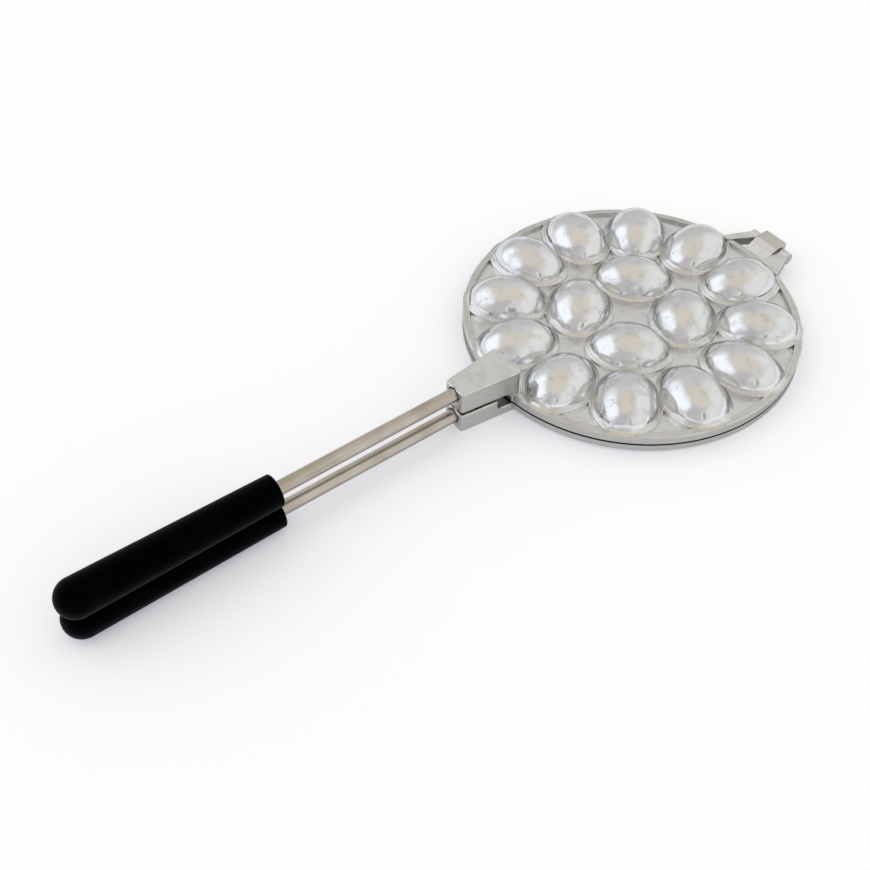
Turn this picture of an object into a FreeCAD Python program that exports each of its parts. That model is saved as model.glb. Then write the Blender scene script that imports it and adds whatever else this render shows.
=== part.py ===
"""Walnut cookie mold: two hinged cast plates on long rod handles.

The lower plate has sixteen smooth bumps. The upper plate has the sixteen nut
cavities that close over them, which show as sixteen domes on its outer face.
A fork on the upper plate turns on a pin through a tongue on the lower plate.

Frame: millimetres, +Z up, +Y from the handles to the hinge. The origin is the
centre of the lower plate's flat underside.
"""
import FreeCAD, Part
import math
import os

Vector = FreeCAD.Vector
ORIGIN = Vector(0, 0, 0)
ALONG_X = Vector(1, 0, 0)
ALONG_Y = Vector(0, 1, 0)
UP = Vector(0, 0, 1)

# Plates, which meet at the parting plane with a narrow gap between them
PLATE_RADIUS = 95.0
PARTING_Z = 4.8
PARTING_GAP = 0.9
LOWER_TOP_Z = PARTING_Z - PARTING_GAP / 2
UPPER_BOTTOM_Z = PARTING_Z + PARTING_GAP / 2
UPPER_TOP_Z = PARTING_Z + 5.3
PLATE_EDGE_ROUND = 0.7
RIM_WIDTH = 4.0
POCKET_DEPTH = 1.8
POCKET_FLOOR_Z = UPPER_TOP_Z - POCKET_DEPTH
OVERSHOOT = 1.0

# Nuts: an outer ring with long axes along the radius, an inner ring across it
OUTER_RING_RADIUS = 70.7
OUTER_RING_COUNT = 12
OUTER_RING_START = 15.0
INNER_RING_RADIUS = 29.1
INNER_RING_COUNT = 4
INNER_RING_START = 45.0

# One nut, as half sizes: long axis, short axis, height
DOME = (22.2, 17.4, 15.8)
DOME_CENTRE_Z = PARTING_Z + 2.6
CAVITY = (19.2, 14.4, 15.3)
DOUGH_GAP = 3.5
BUMP = tuple(size - DOUGH_GAP for size in CAVITY)
BUMP_SIDE_WALL = 2.1
BUMP_TOP_WALL = 3.0
HOLLOW = (BUMP[0] - BUMP_SIDE_WALL, BUMP[1] - BUMP_SIDE_WALL,
          LOWER_TOP_Z + BUMP[2] - BUMP_TOP_WALL)
COLLAR_WIDTH = 2.2
DOME_FOOT_TOUCH = 17.0
DOME_FOOT_SINK = 0.04

# Handle blocks: a trapezoid in plan, widening to the plate
BLOCK_FRONT_Y = -126.3
BLOCK_FRONT_HALF_WIDTH = 7.1
BLOCK_BACK_Y = -89.6
BLOCK_BACK_HALF_WIDTH = 11.4
BLOCK_BACK_ROUND = 3.0
BLOCK_FRONT_ROUND = 1.9
BLOCK_EDGE_ROUND = 0.5
UPPER_BLOCK_TOP_Z = PARTING_Z + 21.1
UPPER_BLOCK_BOTTOM_Z = PARTING_Z + 7.1
UPPER_BLOCK_BELLY_ROUND = 1.6
UPPER_BLOCK_FLARE = 5.6
LOWER_BLOCK_TOP_Z = PARTING_Z + 5.5
LOWER_BLOCK_STEP_Y = -103.6
LOWER_BLOCK_STEP_ROUND = 3.0
LOWER_BLOCK_BOTTOM_Z = -1.8
LOWER_BLOCK_BELLY_ROUND = 1.8
LOWER_BLOCK_LEDGE_ROUND = 0.9
LOWER_BLOCK_RUNOUT_Y = -103.0
LOWER_BLOCK_ROOT_Z = 0.6
RIM_CLEARANCE = 0.6

# Rods and grips
ROD_RADIUS = 3.75
ROD_INNER_Y = -106.0
ROD_OUTER_Y = -330.0
ROD_END_CHAMFER = 0.6
LOWER_ROD_Z = PARTING_Z + 1.0
UPPER_ROD_Z = PARTING_Z + 16.7
ROD_MOUTH_RADIUS = 4.4
ROD_MOUTH_DEPTH = 1.6
GRIP_FRONT_Y = -233.8
GRIP_FRONT_RADIUS = 8.7
GRIP_FRONT_ROUND = 0.9
GRIP_BACK_Y = -338.6
GRIP_BACK_RADIUS = 10.1
GRIP_MEETING_Z = (LOWER_ROD_Z + UPPER_ROD_Z) / 2
GRIP_MEETING_GAP = 0.3

# Hinge
HINGE_X = 4.0
HINGE_Y = 109.3
HINGE_Z = PARTING_Z + 2.9
PIN_RADIUS = 1.9
PIN_RUNNING_CLEARANCE = 0.08
EAR_INNER_X = 8.4
EAR_OUTER_X = 14.6
EAR_RADIUS = 3.9
EAR_EDGE_ROUND = 0.5
PIN_END_X = EAR_OUTER_X - 1.8
ARM_BOTTOM_Z = PARTING_Z + RIM_CLEARANCE
ARM_TOP_Z = UPPER_TOP_Z + 0.7
ARM_ROOT_OUTER = (22.6, 90.2)
LEFT_ARM_ROOT_INNER = (17.6, 91.4)
RIGHT_ARM_ROOT_INNER = (EAR_INNER_X, 93.0)
ARM_BEND_OUTER = (14.8, 108.0)
ARM_BEND_OUTER_ROUND = 3.0
ARM_BEND_INNER_Y = 107.4
ARM_BEND_INNER_ROUND = 1.5
ARM_END_Y = HINGE_Y + 1.0
TONGUE_HALF_WIDTH = 7.95
TONGUE_TOP_Z = PARTING_Z + 8.2
TONGUE_BOTTOM_Z = PARTING_Z - 2.4
TONGUE_SINK_Y = PLATE_RADIUS - 4.0
TONGUE_HEEL_Y = 104.0
TONGUE_RIDGE_Y = 105.3
TONGUE_END_Y = 114.8
TONGUE_END_ROUND = 2.2
TONGUE_ROOT_Y = PLATE_RADIUS + 0.5
TONGUE_ROOT_Z = PARTING_Z + 1.9


def rounded_wire(points, radii):
    """A closed wire through points, each corner rounded by its own radius."""
    starts = []
    ends = []
    middles = []
    count = len(points)
    for index, (corner, radius) in enumerate(zip(points, radii)):
        back = (points[index - 1] - corner).normalize()
        ahead = (points[(index + 1) % count] - corner).normalize()
        half_angle = back.getAngle(ahead) / 2
        reach = radius / math.tan(half_angle)
        centre_reach = radius / math.sin(half_angle)
        bisector = (back + ahead).normalize()
        starts.append(corner + back * reach)
        ends.append(corner + ahead * reach)
        middles.append(corner + bisector * (centre_reach - radius))
    edges = []
    for index in range(count):
        if radii[index] > 0:
            arc = Part.Arc(starts[index], middles[index], ends[index])
            edges.append(arc.toShape())
        following = starts[(index + 1) % count]
        edges.append(Part.LineSegment(ends[index], following).toShape())
    return Part.Wire(edges)


def prism(points, radii, depth):
    """The rounded outline of points, pushed through by the vector depth."""
    face = Part.Face(rounded_wire(points, radii))
    return face.extrude(depth)


def side_slab(outline, radii, half_width, centre_x):
    """A slab with its outline in the YZ plane and its width along X."""
    points = [Vector(centre_x - half_width, y, z) for y, z in outline]
    return prism(points, radii, Vector(2 * half_width, 0, 0))


def nut_places():
    """Each nut's centre in plan, the turn of its long axis, and that axis."""
    places = []
    for index in range(OUTER_RING_COUNT):
        angle = OUTER_RING_START + index * 360 / OUTER_RING_COUNT
        places.append((OUTER_RING_RADIUS, angle, angle))
    for index in range(INNER_RING_COUNT):
        angle = INNER_RING_START + index * 360 / INNER_RING_COUNT
        places.append((INNER_RING_RADIUS, angle, angle + 90))
    return places


def at_nut(shape, place, height):
    """A shape made at the origin, moved to one nut and raised to height."""
    ring_radius, angle, turn = place
    moved = shape.copy()
    moved.rotate(ORIGIN, UP, turn)
    across = ring_radius * math.cos(math.radians(angle))
    along = ring_radius * math.sin(math.radians(angle))
    moved.translate(Vector(across, along, height))
    return moved


def half_nut(sizes):
    """The upper half of an ellipsoid, with its flat side at z = 0."""
    ball = Part.makeSphere(1.0, ORIGIN, UP, 0, 90, 360)
    stretch = FreeCAD.Matrix()
    stretch.scale(*sizes)
    return ball.transformGeometry(stretch)


def dome():
    """A nut's outer form: half an ellipsoid that spreads to a hollowed foot."""
    long_half, short_half, height = DOME
    touch = math.radians(DOME_FOOT_TOUCH)
    touch_point = Vector(short_half * math.cos(touch), 0, height * math.sin(touch))
    outward = Vector(math.cos(touch) / short_half, 0, math.sin(touch) / height).normalize()
    foot_z = UPPER_TOP_Z - DOME_CENTRE_Z - DOME_FOOT_SINK
    radius = (touch_point.z - foot_z) / (1 - outward.z)
    centre = touch_point + outward * radius
    foot_point = centre - UP * radius
    middle = centre - (outward + UP).normalize() * radius
    oval = Part.Ellipse(Vector(short_half, 0, 0), Vector(0, 0, height), ORIGIN)
    top = Vector(0, 0, height)
    under_foot = Vector(foot_point.x, 0, 0)
    profile = Part.Wire([
        Part.LineSegment(ORIGIN, under_foot).toShape(),
        Part.LineSegment(under_foot, foot_point).toShape(),
        Part.Arc(foot_point, middle, touch_point).toShape(),
        Part.ArcOfEllipse(oval, touch, math.pi / 2).toShape(),
        Part.LineSegment(top, ORIGIN).toShape(),
    ])
    round_dome = Part.Face(profile).revolve(ORIGIN, UP, 360)
    stretch = FreeCAD.Matrix()
    stretch.scale(long_half / short_half, 1, 1)
    return round_dome.transformGeometry(stretch)


def nut_outline(sizes, grow, height):
    """An upright prism over a nut's oval, grown sideways by grow."""
    oval = Part.Ellipse(ORIGIN, sizes[0] + grow, sizes[1] + grow)
    face = Part.Face(Part.Wire(oval.toShape()))
    return face.extrude(Vector(0, 0, height))


def round_plate(bottom, thickness, edge_z):
    """A disc whose rim at height edge_z is rounded over."""
    disc = Part.makeCylinder(PLATE_RADIUS, thickness, Vector(0, 0, bottom))
    rims = [edge for edge in disc.Edges
            if edge.Closed and abs(edge.CenterOfMass.z - edge_z) < 0.01]
    return disc.makeFillet(PLATE_EDGE_ROUND, rims)


def block_plan(bottom, height):
    """The handle block's plan outline, from its front face to the plate."""
    points = [
        Vector(-BLOCK_FRONT_HALF_WIDTH, BLOCK_FRONT_Y, bottom),
        Vector(BLOCK_FRONT_HALF_WIDTH, BLOCK_FRONT_Y, bottom),
        Vector(BLOCK_BACK_HALF_WIDTH, BLOCK_BACK_Y, bottom),
        Vector(-BLOCK_BACK_HALF_WIDTH, BLOCK_BACK_Y, bottom),
    ]
    radii = [BLOCK_FRONT_ROUND, BLOCK_FRONT_ROUND, BLOCK_BACK_ROUND, BLOCK_BACK_ROUND]
    return prism(points, radii, Vector(0, 0, height))


def edges_at(shape, height):
    """The edges of a shape that lie flat at one height."""
    return [edge for edge in shape.Edges
            if abs(edge.BoundBox.ZMin - height) < 0.01
            and abs(edge.BoundBox.ZMax - height) < 0.01]


def rod_hole(axis_z):
    """The blind hole for a rod, with a wider mouth in the front face."""
    start = Vector(0, BLOCK_FRONT_Y - OVERSHOOT, axis_z)
    depth = ROD_INNER_Y - start.y
    bore = Part.makeCylinder(ROD_RADIUS, depth, start, ALONG_Y)
    mouth_depth = ROD_MOUTH_DEPTH + OVERSHOOT
    mouth = Part.makeCylinder(ROD_MOUTH_RADIUS, mouth_depth, start, ALONG_Y)
    return bore.fuse(mouth)


def upper_block():
    """The raised block over the rim, with a flared root down to the rim's wall."""
    bottom = ARM_BOTTOM_Z
    plan = block_plan(bottom, UPPER_BLOCK_TOP_Z - bottom)
    plan = plan.makeFillet(BLOCK_EDGE_ROUND, edges_at(plan, UPPER_BLOCK_TOP_Z))
    front_y = BLOCK_FRONT_Y - OVERSHOOT
    back_y = BLOCK_BACK_Y + OVERSHOOT
    above = UPPER_BLOCK_TOP_Z + OVERSHOOT
    outline = [
        (front_y, UPPER_BLOCK_BOTTOM_Z),
        (-PLATE_RADIUS, UPPER_BLOCK_BOTTOM_Z),
        (-PLATE_RADIUS, bottom),
        (back_y, bottom),
        (back_y, above),
        (front_y, above),
    ]
    radii = [0, UPPER_BLOCK_FLARE, 0, 0, 0, 0]
    side = side_slab(outline, radii, BLOCK_BACK_HALF_WIDTH * 2, 0)
    block = plan.common(side)
    return block.makeFillet(UPPER_BLOCK_BELLY_ROUND, edges_at(block, UPPER_BLOCK_BOTTOM_Z))


def lower_block():
    """The block below the rim's level, stepped down to pass under the rim."""
    bottom = LOWER_BLOCK_BOTTOM_Z
    plan = block_plan(bottom, LOWER_BLOCK_TOP_Z - bottom)
    plan = plan.makeFillet(LOWER_BLOCK_BELLY_ROUND, edges_at(plan, bottom))
    front_y = BLOCK_FRONT_Y - OVERSHOOT
    back_y = BLOCK_BACK_Y + OVERSHOOT
    above = LOWER_BLOCK_TOP_Z + OVERSHOOT
    below = bottom - OVERSHOOT
    outline = [
        (front_y, below),
        (LOWER_BLOCK_RUNOUT_Y, below),
        (back_y, LOWER_BLOCK_ROOT_Z),
        (back_y, LOWER_TOP_Z),
        (LOWER_BLOCK_STEP_Y, LOWER_TOP_Z),
        (LOWER_BLOCK_STEP_Y, above),
        (front_y, above),
    ]
    radii = [0, 0, 0, 0, LOWER_BLOCK_STEP_ROUND, 0, 0]
    side = side_slab(outline, radii, BLOCK_BACK_HALF_WIDTH * 2, 0)
    block = plan.common(side)
    soft_edges = [edge for edge in block.Edges
                  if edge.BoundBox.ZMin > LOWER_TOP_Z - 0.01
                  and edge.BoundBox.YMin < -PLATE_RADIUS
                  and (edge.BoundBox.YLength > 0.01
                       or edge.BoundBox.ZMin > LOWER_BLOCK_TOP_Z - 0.01)]
    return block.makeFillet(LOWER_BLOCK_LEDGE_ROUND, soft_edges)


def fork_arm(side):
    """One arm of the fork, from the rim to a barrel round the pin.

    The right arm is wide and runs beside the tongue. The left arm slants, and
    leaves a three-cornered window between itself, the rim and the tongue.
    """
    outside = [ARM_ROOT_OUTER, ARM_BEND_OUTER, (EAR_OUTER_X, ARM_END_Y)]
    inside = [(EAR_INNER_X, ARM_END_Y), RIGHT_ARM_ROOT_INNER]
    radii = [0, ARM_BEND_OUTER_ROUND, 0, 0, 0]
    if side < 0:
        inside = [(EAR_INNER_X, ARM_END_Y), (EAR_INNER_X, ARM_BEND_INNER_Y), LEFT_ARM_ROOT_INNER]
        radii = [0, ARM_BEND_OUTER_ROUND, 0, 0, ARM_BEND_INNER_ROUND, 0]
    points = [Vector(HINGE_X + side * x, y, ARM_BOTTOM_Z) for x, y in outside + inside]
    bar = prism(points, radii, Vector(0, 0, ARM_TOP_Z - ARM_BOTTOM_Z))
    near_x = min(side * EAR_INNER_X, side * EAR_OUTER_X)
    barrel_start = Vector(HINGE_X + near_x, HINGE_Y, HINGE_Z)
    barrel = Part.makeCylinder(EAR_RADIUS, EAR_OUTER_X - EAR_INNER_X, barrel_start, ALONG_X)
    rims = [edge for edge in barrel.Edges if edge.Closed]
    return bar.fuse(barrel.makeFillet(EAR_EDGE_ROUND, rims))


def hinge_tongue():
    """The lower plate's tongue: a slope, a flat top and a rounded back."""
    outline = [
        (TONGUE_SINK_Y, 0),
        (TONGUE_HEEL_Y, 0),
        (HINGE_Y, TONGUE_BOTTOM_Z),
        (TONGUE_END_Y, TONGUE_BOTTOM_Z),
        (TONGUE_END_Y, TONGUE_TOP_Z),
        (TONGUE_RIDGE_Y, TONGUE_TOP_Z),
        (TONGUE_ROOT_Y, TONGUE_ROOT_Z),
        (TONGUE_ROOT_Y, LOWER_TOP_Z),
        (TONGUE_SINK_Y, LOWER_TOP_Z),
    ]
    radii = [0, 2.0, 2.0, 5.0, 1.0, 0.6, 0.4, 0, 0]
    side = side_slab(outline, radii, TONGUE_HALF_WIDTH, HINGE_X)
    left = HINGE_X - TONGUE_HALF_WIDTH
    right = HINGE_X + TONGUE_HALF_WIDTH
    start_y = TONGUE_SINK_Y - OVERSHOOT
    plan_points = [
        Vector(left, start_y, -OVERSHOOT),
        Vector(right, start_y, -OVERSHOOT),
        Vector(right, TONGUE_END_Y, -OVERSHOOT),
        Vector(left, TONGUE_END_Y, -OVERSHOOT),
    ]
    plan = prism(plan_points, [0, 0, TONGUE_END_ROUND, TONGUE_END_ROUND],
                 Vector(0, 0, TONGUE_TOP_Z + 2 * OVERSHOOT))
    return side.common(plan)


def hinge_cylinder(radius, left_x, right_x):
    """A cylinder on the hinge axis, between two distances from the hinge's middle."""
    start = Vector(HINGE_X + left_x, HINGE_Y, HINGE_Z)
    return Part.makeCylinder(radius, right_x - left_x, start, ALONG_X)


def make_upper_plate():
    plate = round_plate(UPPER_BOTTOM_Z, UPPER_TOP_Z - UPPER_BOTTOM_Z, UPPER_TOP_Z)
    pocket = Part.makeCylinder(PLATE_RADIUS - RIM_WIDTH, POCKET_DEPTH + OVERSHOOT,
                               Vector(0, 0, POCKET_FLOOR_Z))
    collar = nut_outline(DOME, COLLAR_WIDTH, POCKET_DEPTH + 2 * OVERSHOOT + 0.5)
    collars = [at_nut(collar, place, POCKET_FLOOR_Z - OVERSHOOT) for place in nut_places()]
    plate = plate.cut(pocket.cut(collars))
    domes = [at_nut(dome(), place, DOME_CENTRE_Z) for place in nut_places()]
    arms = [fork_arm(side) for side in (-1, 1)]
    plate = plate.fuse(domes + arms + [upper_block()])
    cavities = [at_nut(half_nut(CAVITY), place, PARTING_Z) for place in nut_places()]
    pin_hole = hinge_cylinder(PIN_RADIUS, -EAR_OUTER_X - OVERSHOOT, PIN_END_X)
    return plate.cut(cavities + [rod_hole(UPPER_ROD_Z), pin_hole])


def make_lower_plate():
    plate = round_plate(0, LOWER_TOP_Z, 0)
    bumps = [at_nut(half_nut(BUMP), place, LOWER_TOP_Z) for place in nut_places()]
    plate = plate.fuse(bumps + [lower_block(), hinge_tongue()])
    hollows = [at_nut(half_nut(HOLLOW), place, 0) for place in nut_places()]
    half_bore = TONGUE_HALF_WIDTH + OVERSHOOT
    bore = hinge_cylinder(PIN_RADIUS + PIN_RUNNING_CLEARANCE, -half_bore, half_bore)
    return plate.cut(hollows + [rod_hole(LOWER_ROD_Z), bore])


def make_hinge_pin():
    return hinge_cylinder(PIN_RADIUS, -EAR_OUTER_X, PIN_END_X)


def make_rod(axis_z):
    """A round rod along Y with chamfered ends."""
    length = ROD_INNER_Y - ROD_OUTER_Y
    rod = Part.makeCylinder(ROD_RADIUS, length, Vector(0, ROD_OUTER_Y, axis_z), ALONG_Y)
    ends = [edge for edge in rod.Edges if edge.Closed]
    return rod.makeChamfer(ROD_END_CHAMFER, ends)


def make_grip(axis_z, facing):
    """A tapered round grip with a domed end, flat where the grips meet."""
    tip_y = GRIP_BACK_Y - GRIP_BACK_RADIUS
    dome_turn = math.sin(math.radians(45))
    front_edge_y = GRIP_FRONT_Y - GRIP_FRONT_ROUND
    axis_front = Vector(0, GRIP_FRONT_Y, axis_z)
    face_edge = Vector(0, GRIP_FRONT_Y, axis_z + GRIP_FRONT_RADIUS - GRIP_FRONT_ROUND)
    round_middle = Vector(0, front_edge_y + GRIP_FRONT_ROUND * dome_turn,
                          axis_z + GRIP_FRONT_RADIUS - GRIP_FRONT_ROUND * (1 - dome_turn))
    side_front = Vector(0, front_edge_y, axis_z + GRIP_FRONT_RADIUS)
    side_back = Vector(0, GRIP_BACK_Y, axis_z + GRIP_BACK_RADIUS)
    dome_middle = Vector(0, GRIP_BACK_Y - GRIP_BACK_RADIUS * dome_turn,
                         axis_z + GRIP_BACK_RADIUS * dome_turn)
    tip = Vector(0, tip_y, axis_z)
    profile = Part.Wire([
        Part.LineSegment(axis_front, face_edge).toShape(),
        Part.Arc(face_edge, round_middle, side_front).toShape(),
        Part.LineSegment(side_front, side_back).toShape(),
        Part.Arc(side_back, dome_middle, tip).toShape(),
        Part.LineSegment(tip, axis_front).toShape(),
    ])
    grip = Part.Face(profile).revolve(axis_front, ALONG_Y, 360)
    length = GRIP_FRONT_Y - ROD_OUTER_Y
    bore = Part.makeCylinder(ROD_RADIUS, length + 1, Vector(0, ROD_OUTER_Y, axis_z), ALONG_Y)
    size = 2 * GRIP_BACK_RADIUS
    flat_z = GRIP_MEETING_Z - facing * GRIP_MEETING_GAP / 2
    corner_z = flat_z if facing > 0 else flat_z - size
    beyond = Part.makeBox(2 * size, GRIP_FRONT_Y - tip_y + 2, size,
                          Vector(-size, tip_y - 1, corner_z))
    return grip.cut([bore, beyond])


def main():
    os.makedirs("parts", exist_ok=True)
    parts = {
        "lower_plate": make_lower_plate(),
        "upper_plate": make_upper_plate(),
        "hinge_pin": make_hinge_pin(),
        "lower_rod": make_rod(LOWER_ROD_Z),
        "upper_rod": make_rod(UPPER_ROD_Z),
        "lower_grip": make_grip(LOWER_ROD_Z, 1),
        "upper_grip": make_grip(UPPER_ROD_Z, -1),
    }
    for name, shape in parts.items():
        solids = shape.Solids
        print(name, len(solids), shape.isValid(), round(shape.Volume))
        solid = solids[0] if len(solids) == 1 else shape
        solid.exportStep(f"parts/{name}.step")


main()
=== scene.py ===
# %% [markdown]
# # A walnut cookie mold in Blender
# Two round cast aluminium plates are hinged together. Sixteen nut-shaped
# domes stand on the upper one, and each plate has a long steel rod with a
# soft black grip. The castings, rods, pin and grips come from the packed
# model. This lesson gives them their metals and rubber, carves the walnut
# veins into the nut cavities, and lights the mold like a catalogue picture.

# %% Load the fixed frame
import math

import bpy
from mathutils import Matrix, Vector


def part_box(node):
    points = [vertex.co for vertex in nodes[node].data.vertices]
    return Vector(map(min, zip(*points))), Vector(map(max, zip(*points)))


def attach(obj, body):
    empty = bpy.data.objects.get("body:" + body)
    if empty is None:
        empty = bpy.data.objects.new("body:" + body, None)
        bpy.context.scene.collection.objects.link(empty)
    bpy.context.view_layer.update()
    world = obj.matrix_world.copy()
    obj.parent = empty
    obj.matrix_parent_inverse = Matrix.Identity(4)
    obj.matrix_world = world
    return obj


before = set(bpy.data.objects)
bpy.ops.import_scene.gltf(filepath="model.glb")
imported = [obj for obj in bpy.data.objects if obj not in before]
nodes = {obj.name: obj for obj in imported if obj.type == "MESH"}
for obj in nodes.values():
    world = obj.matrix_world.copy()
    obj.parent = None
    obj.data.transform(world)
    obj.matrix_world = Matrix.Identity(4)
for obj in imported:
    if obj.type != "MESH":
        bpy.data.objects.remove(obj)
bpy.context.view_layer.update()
scene = bpy.context.scene
MM = 0.001

# %% [markdown]
# ## Camera
# A moderately long lens looks down from the right of the handles. The
# picture is square, so one focal length in pixels serves both ways. The
# camera is placed by angles about a target, which reads more easily than a
# matrix of numbers.

# %% Camera
IMAGE_SIZE = 870
FOCAL_PIXELS = 1247.2
VIEW_AZIMUTH = math.radians(52.647)
VIEW_ELEVATION = math.radians(47.729)
VIEW_ROLL = math.radians(0.700)
VIEW_TARGET = Vector((4.8, -141.7, 4.8)) * MM
VIEW_DISTANCE = 646.4 * MM
SENSOR_WIDTH_IN_MM = 36.0
UP = Vector((0, 0, 1))


def direction(azimuth, elevation):
    """Unit vector to a place in the sky: azimuth 0 is -Y, and 90 degrees is +X."""
    level = math.cos(elevation)
    return Vector((math.sin(azimuth) * level, -math.cos(azimuth) * level, math.sin(elevation)))


def make_camera():
    """A camera placed by its azimuth, elevation, roll and distance."""
    back = direction(VIEW_AZIMUTH, VIEW_ELEVATION)
    level_right = UP.cross(back).normalized()
    level_up = back.cross(level_right)
    right = math.cos(VIEW_ROLL) * level_right + math.sin(VIEW_ROLL) * level_up
    up = back.cross(right)
    turn = Matrix((right, up, back)).transposed().to_4x4()
    data = bpy.data.cameras.new("catalogue_camera")
    data.sensor_width = SENSOR_WIDTH_IN_MM
    data.lens = FOCAL_PIXELS / IMAGE_SIZE * SENSOR_WIDTH_IN_MM
    camera = bpy.data.objects.new("catalogue_camera", data)
    camera.matrix_world = Matrix.Translation(VIEW_TARGET + back * VIEW_DISTANCE) @ turn
    scene.collection.objects.link(camera)
    scene.camera = camera


make_camera()
print("camera lens in mm:", round(scene.camera.data.lens, 1))

# %% [markdown]
# ## Helpers for colours and nodes
# Colours are written as the hex values that a colour picker shows. The
# renderer adds up light, so one function turns each colour into its linear
# values first.

# %% Colours
def linear(hex_colour):
    """A hex colour such as "#C0C0BB" as linear red, green, blue and alpha."""
    parts = [int(hex_colour[start:start + 2], 16) / 255 for start in (1, 3, 5)]
    curved = [part / 12.92 if part <= 0.04045 else ((part + 0.055) / 1.055) ** 2.4 for part in parts]
    return (*curved, 1.0)


print("a mid grey in linear light:", round(linear("#808080")[0], 3))

# %% [markdown]
# One function adds any node, sets it up and links it, so that each material
# below reads from top to bottom. Given a whole node as a value, it takes
# that node's first output in use. Three settings come back often: a value
# that eases between two limits, a mix of colours, and a product.

# %% Nodes
EASED = {"interpolation_type": "SMOOTHSTEP"}
COLOURS = {"data_type": "RGBA"}
PRODUCT = {"operation": "MULTIPLY"}


def add(tree, kind, settings=None, inputs=None):
    """Adds a node. A value for an input is a number, a colour, another node or its output."""
    new = tree.nodes.new(kind)
    for name, value in (settings or {}).items():
        setattr(new, name, value)
    for name, value in (inputs or {}).items():
        if isinstance(value, bpy.types.Node):
            value = next(socket for socket in value.outputs if socket.enabled)
        if isinstance(value, bpy.types.NodeSocket):
            tree.links.new(value, new.inputs[name])
        else:
            new.inputs[name].default_value = value
    return new


def blank_material(name):
    """A material with an empty tree, and that tree's output node."""
    material = bpy.data.materials.new(name)
    material.use_nodes = True
    material.node_tree.nodes.clear()
    output = add(material.node_tree, "ShaderNodeOutputMaterial")
    return material, material.node_tree, output


print("settings that come back:", EASED, COLOURS, PRODUCT)

# %% [markdown]
# ## The studio
# Polished domes are mirrors, so the light is mostly a picture of the room.
# The world is that room: a pale grey tent, a large cool softbox in front on
# the left, a warm ceiling, a mauve card in front, two walls behind and,
# small and dark, the camera on its stand with a gap of light beside it. Each
# is a soft-edged patch of sky, faded in by the angle from its middle. The
# colours are those that the metal shows, so the strength makes up for the
# light that metal swallows.

# %% A soft patch of sky
# A patch is its colour, azimuth, elevation, half width, half height and the
# softness of its edge. All angles are in degrees.
SOFTBOX = ("#F0F3F8", -42, 33, 33, 24, 11)


def soft_patch(tree, ray, under, patch):
    """Fades a patch's colour over the one under it, round a direction."""
    colour, azimuth, elevation, half_width, half_height, soft = patch
    middle = direction(math.radians(azimuth), math.radians(elevation))
    side = UP.cross(middle).normalized()
    top = middle.cross(side)
    fades = []
    for axis, half in ((side, half_width), (top, half_height)):
        along = add(tree, "ShaderNodeVectorMath", {"operation": "DOT_PRODUCT"}, {0: ray, 1: axis})
        forward = add(tree, "ShaderNodeVectorMath", {"operation": "DOT_PRODUCT"}, {0: ray, 1: middle})
        angle = add(tree, "ShaderNodeMath", {"operation": "ARCTAN2"}, {0: along, 1: forward})
        far = add(tree, "ShaderNodeMath", {"operation": "ABSOLUTE"}, {0: angle})
        limits = {"From Min": math.radians(half + soft), "From Max": math.radians(half - soft)}
        fades.append(add(tree, "ShaderNodeMapRange", EASED, {"Value": far, **limits}))
    both = add(tree, "ShaderNodeMath", PRODUCT, {0: fades[0], 1: fades[1]})
    return add(tree, "ShaderNodeMix", COLOURS, {"Factor": both, "A": under, "B": linear(colour)})


print("degrees of sky that the softbox covers:", 2 * SOFTBOX[3], "by", 2 * SOFTBOX[4])

# %% Studio world
METAL_REFLECTS = 0.74
TENT = "#BDBDBA"
PALE_WALL = ("#D6D6D2", 140, 36, 62, 30, 22)
GREY_WALL = ("#B8B8B6", -128, 18, 30, 24, 20)
MAUVE_CARD = ("#B4B0B1", 20, 26, 26, 40, 14)
CAMERA_STAND = ("#8A847E", 65, 27, 4, 9, 3)
GAP_BESIDE_IT = ("#F2ECE0", 57, 27, 1.6, 12, 1.5)
CEILING = "#C9C2B6"
CEILING_LIMITS = {"From Min": math.sin(math.radians(50)), "From Max": math.sin(math.radians(70))}


def make_world():
    """The room that the metal mirrors: walls, then the ceiling, then what shines or stands out."""
    world = bpy.data.worlds.new("studio_tent")
    scene.world = world
    world.use_nodes = True
    tree = world.node_tree
    tree.nodes.clear()
    ray = add(tree, "ShaderNodeTexCoord").outputs["Generated"]
    height = add(tree, "ShaderNodeSeparateXYZ", inputs={"Vector": ray}).outputs["Z"]
    overhead = add(tree, "ShaderNodeMapRange", EASED, {"Value": height, **CEILING_LIMITS})
    room = linear(TENT)
    for patch in (PALE_WALL, GREY_WALL, MAUVE_CARD):
        room = soft_patch(tree, ray, room, patch)
    room = add(tree, "ShaderNodeMix", COLOURS, {"Factor": overhead, "A": room, "B": linear(CEILING)})
    for patch in (SOFTBOX, CAMERA_STAND, GAP_BESIDE_IT):
        room = soft_patch(tree, ray, room, patch)
    light = add(tree, "ShaderNodeBackground", inputs={"Color": room, "Strength": 1 / METAL_REFLECTS})
    add(tree, "ShaderNodeOutputWorld", inputs={"Surface": light})


make_world()
scene.view_settings.view_transform = "Standard"
print("the room has", len(scene.world.node_tree.nodes), "nodes")

# %% [markdown]
# ## The floor
# The mold lies on the root of its hinge tongue and on the end of its lower
# grip, which is the fatter part. The floor therefore tips by half a degree
# to touch both. It is white paper that bends up far away, as a roll of
# studio paper does, so that a low view shows no horizon. What the camera or
# a mirror sees of it also gets a little glow, so that it renders white and
# still keeps the shadow, and the glow puts no light on the mold.

# %% White paper
PAPER_COLOUR = "#F8F8F8"
GLOW_COLOUR = "#EAEEFF"
PAPER_GLOW = 0.27


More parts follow.
